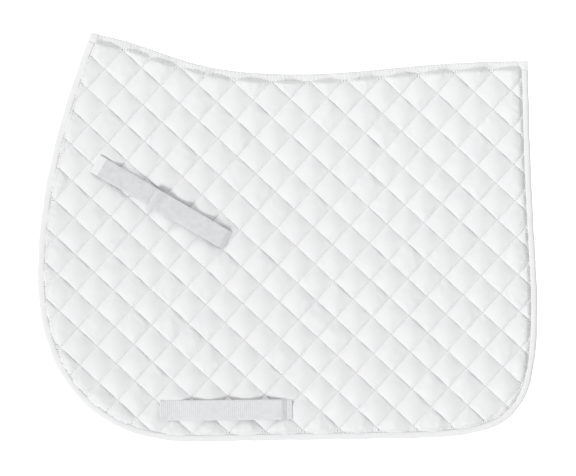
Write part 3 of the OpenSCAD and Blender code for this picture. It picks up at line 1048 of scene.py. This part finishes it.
def ribbon(strap, path, width, rib=2.6 * MM, rib_depth=0.4 * MM, smoothing=0.5 * MM):
    """Woven webbing carried along a (distance, height) path, with crosswise ribs."""
    path = resample(np.array(path), 0.36 * MM, smoothing)
    along = path_length(path)[:, None]
    normal = -inward(path)
    c = np.sin(np.linspace(-np.pi / 2, np.pi / 2, 14))[None]
    round_off = 1 - np.abs(c) ** 10 * 0.75
    ridge = rib_depth * (np.abs(np.sin(np.pi * along / rib)) - 0.5)
    half = WEBBING_T / 2 * round_off + ridge * round_off
    scallop = 1 + 0.004 * np.sin(2 * np.pi * along / (2 * rib))
    across = width / 2 * c * scallop
    faces = []
    for sign in (1, -1):
        s, height = (path[:, k, None] + sign * normal[:, k, None] * half for k in (0, 1))
        faces.append(to_world(strap, s, across, height)[:, ::sign])
    return loft(np.concatenate(faces, 1))


def cross_stitches(strap, places, height, width, pitch=2.6 * MM):
    """Rows of stitches across a strap at the given distances along it."""
    t = np.arange(-width / 2 + pitch / 2, width / 2, pitch)
    along = lift(np.repeat(strap[2][None], len(t), 0), 0.0)
    runs = []
    for s in places:
        centre = to_world(strap, np.full(len(t), s), t, np.full(len(t), height))
        runs.append(stitch_run(centre, along, OUTWARD, 2.3 * MM, 0.95 * MM, 0.8 * MM))
    return join(runs)


def build_girth_loop():
    skin = ribbon(GIRTH, GIRTH_LINE, GIRTH_WIDTH)
    pair("girth_strap", skin, WEBBING, ["girth_strap"], body="{}_flap")
    end, top = GIRTH_LINE[-1, 0], GIRTH_LINE[0, 1] + WEBBING_T / 2 + 0.1 * MM
    places = [2.6 * MM, 5.4 * MM, 9.0 * MM, end - 4.6 * MM, end - 1.9 * MM]
    skin = cross_stitches(GIRTH, places, top, GIRTH_WIDTH - 3 * MM)
    pair("girth_strap_stitching", skin, STRAP_THREAD,
         ["girth_strap_stitching"], body="{}_flap")


def folded_tab(line, foot, at_start):
    """The path of one keeper webbing: its sewn foot, the turn back, and the free tab.

    The lower tab is sewn at the keeper's start, and the upper one, with its hem, at the end.
    """
    sign = 1 if at_start else -1
    ordered = line if at_start else line[::-1]
    sunk, end = ordered[-1, 1] - TAB_SINK, ordered[-1, 0]
    far, fold_s = (foot[1], foot[0] - 1.2 * MM) if at_start else (foot[0], foot[1] + 2.5 * MM)
    top = FACE_HEIGHT + 0.7 * MM
    middle, turn = (FOOT_HEIGHT + top) / 2, (top - FOOT_HEIGHT) / 2
    path = [(far, FOOT_HEIGHT), (fold_s, FOOT_HEIGHT)]
    for angle in (-50, 0, 50):
        a = math.radians(angle)
        path.append((fold_s - sign * turn * math.cos(a), middle + turn * math.sin(a)))
    path.append((fold_s + sign * 0.5 * MM, top))
    if at_start:
        path += [(fold_s + 10 * MM, sunk + 0.9 * MM), (fold_s + 40 * MM, sunk + 0.3 * MM),
                 (end, sunk)]
    else:
        hem = sunk + 2.1 * MM
        path += [(fold_s - 6 * MM, sunk), (end + 14 * MM, sunk), (end + 4 * MM, hem),
                 (end + 1.2 * MM, hem - 0.2 * MM), (end - 0.6 * MM, sunk + 0.3 * MM)]
    return np.array(path)


def paint_front_highlight(pieces, reach):
    """Gives the keeper's front end the white cotton, up to reach along the strap: a painted highlight
    for its lit, sloped front.
    """
    for piece in pieces:
        mesh = piece.data
        mesh.materials.append(COTTON)
        centres = np.array([p.center for p in mesh.polygons])
        s, _ = in_strap(KEEPER, centres[:, [0, 2]])
        mesh.polygons.foreach_set("material_index", (s < reach).astype(np.int32))


def build_keeper():
    # The third of these is how far the painted highlight of white cotton reaches along the keeper.
    front, rear, highlight_reach = FRONT_FOOT, REAR_FOOT, 8 * MM
    for level, end, line, foot, hinge in (
        ("lower", "front", LOWER_LINE, front, "left_lower_tab_lift"),
        ("upper", "rear", UPPER_LINE, rear, "left_upper_tab_peel"),
    ):
        at_start = end == "front"
        path = folded_tab(line, foot, at_start)
        path = path if at_start else path[::-1]
        skin = ribbon(KEEPER, path, KEEPER_WIDTH, 2.2 * MM, 0.26 * MM, 0.9 * MM)
        x, _, z = joint(hinge)["pos_m"]
        bend = ("{}_flap", f"{{}}_{level}_tab", (x, -(FOOT_HEIGHT + WEBBING_T / 2), z),
                (x, -(FACE_HEIGHT + 1.5 * MM), z))
        nodes = [f"keeper_{end}_foot", f"keeper_{level}_tab"]
        pieces = pair(f"keeper_{level}_webbing", skin, SHADED_TAB_WEBBING, nodes, bend=bend)
        # The lower webbing's front end gets white cotton, as a painted highlight.
        if at_start:
            paint_front_highlight(pieces, front[0] + highlight_reach)

    in_from_end = 2.5 * MM
    places = [end + sign * in_from_end for foot in (front, rear) for end, sign in zip(foot, (1, -1))]
    skin = cross_stitches(KEEPER, places, FOOT_HEIGHT + WEBBING_T / 2, KEEPER_WIDTH - 4 * MM)
    pair("keeper_stitching", skin, STRAP_THREAD, ["keeper_stitching"], body="{}_flap")

    for name, material, body in (("loop_tape", LOOP_TAPE, "{}_lower_tab"),
                                 ("hook_tape", HOOK_TAPE, "{}_upper_tab")):
        low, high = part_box("left_" + name)
        middle, thick = -(low.y + high.y) / 2 - TAB_SINK, high.y - low.y
        skin = tufted_tape(span("left_" + name, KEEPER), middle, KEEPER_WIDTH - 4 * MM, thick)
        pair(name, skin, material, [name], body=body)


def tufted_tape(ends, height, width, thick):
    """Hook or loop tape: a thin strip with a rough pile on both faces."""
    rng = np.random.default_rng(SEED + 7)
    stations, count = 60, 30
    s, c = np.meshgrid(np.linspace(*ends, stations), np.linspace(-width / 2, width / 2, count),
                       indexing="ij")
    edge = 1 - (np.abs(c) / (width / 2)) ** 12 * 0.6
    pile = rng.uniform(0.55, 1.0, s.shape) * edge
    top = to_world(KEEPER, s, c, height + thick / 2 * pile)
    low = to_world(KEEPER, s, c, height - thick / 2 * pile)
    return loft(np.concatenate([top, low[:, ::-1]], 1))


# ------------------------ stage

def point_at(thing, target):
    thing.rotation_euler = (Vector(target) - thing.location).to_track_quat("-Z", "Y").to_euler()


def glow(tree, seen_strength, lit_strength):
    """Emission that the camera sees more brightly than the pad is lit by it."""
    seen = add(tree, "ShaderNodeLightPath")
    extra = maths(tree, "MULTIPLY", seen.outputs["Is Camera Ray"], seen_strength - lit_strength)
    return maths(tree, "ADD", extra, lit_strength)


def build_floor(low):
    """A wide white floor below the pad, which casts no shadow."""
    reach, gap, grey = 30.0, 45 * MM, 0.35
    material, tree, shader = node_material("floor", roughness=1.0, sheen=0.0, specular=0.0)
    fill_in(tree, shader, {"Base Color": (grey, grey, grey, 1), "Emission Color": (1, 1, 1, 1),
                           "Emission Strength": glow(tree, 1.0, 0.15)})
    corners = [(x * reach, y * reach, low.z - gap) for x, y in ((-1, -1), (1, -1), (1, 1), (-1, 1))]
    floor = new_mesh("floor", corners, [(0, 1, 2, 3)], material, smooth=False)
    floor.visible_shadow = False


def build_world():
    world = bpy.data.worlds.new("studio")
    world.use_nodes = True
    bpy.context.scene.world = world
    tree = world.node_tree
    fill_in(tree, tree.nodes["Background"], {"Color": (1, 1, 1, 1), "Strength": glow(tree, 1.39, 0.69)})


def add_light(name, kind, place, target, energy, **values):
    data = bpy.data.lights.new(name, kind)
    data.energy = energy
    for key, value in values.items():
        setattr(data, key, value)
    light = bpy.data.objects.new(name, data)
    bpy.context.scene.collection.objects.link(light)
    light.location = place
    point_at(light, target)


def build_camera(low, high):
    """A long lens straight in front of the left flap, as in the photograph."""
    picture_over_pad = 1.152
    right, up = 0.6 * MM, -0.7 * MM
    centre = (low + high) / 2
    data = bpy.data.cameras.new("camera")
    data.lens = 200
    data.sensor_width = 36
    camera = bpy.data.objects.new("camera", data)
    bpy.context.scene.collection.objects.link(camera)
    distance = (high.x - low.x) * picture_over_pad * data.lens / data.sensor_width
    aim = Vector((centre.x + right, -RIM_HEIGHT, centre.z + up))
    camera.location = aim + Vector((0, -distance, 0))
    point_at(camera, aim)
    bpy.context.scene.camera = camera


def build_stage():
    """The sun shines from the front, low on the left, with soft fill from above and behind."""
    low, high = CAD_BOX
    centre = (low + high) / 2
    build_floor(low)
    build_world()
    for name, offset, watts in (("top", (0.3, -0.9, 1.6), 5), ("back", (0.8, 1.6, 0.6), 18)):
        add_light(name, "AREA", centre + Vector(offset), centre, watts, size=1.2)
    sun = centre + Vector((-0.76, -1.0, -0.9))
    add_light("key", "SUN", sun, centre, 1.8, angle=math.radians(22))
    build_camera(low, high)
    bpy.context.scene.view_settings.view_transform = "Standard"


def fold_bend():
    """A side's bend as pair takes it: the spine, the flap, the fold's point and a point a little below
    it.
    """
    _, y, z = joint("left_flap_fold")["pos_m"]
    return "spine", "{}_flap", (0, y, z), (0, y, z - FOLD_LENGTH)


bend = fold_bend()
build_panels(bend)
build_batting(bend)
quilting_stitches(bend)
build_binding(bend)
build_spine()
build_crossing("front_binding_crossing", SPINE[0], unit(SPINE[5] - SPINE[0]), unit(RIM[-6] - RIM[-1]))
build_crossing("rear_binding_crossing", RIM[0], unit(SPINE[-6] - SPINE[-1]), unit(RIM[5] - RIM[0]))
build_girth_loop()
build_keeper()
build_stage()
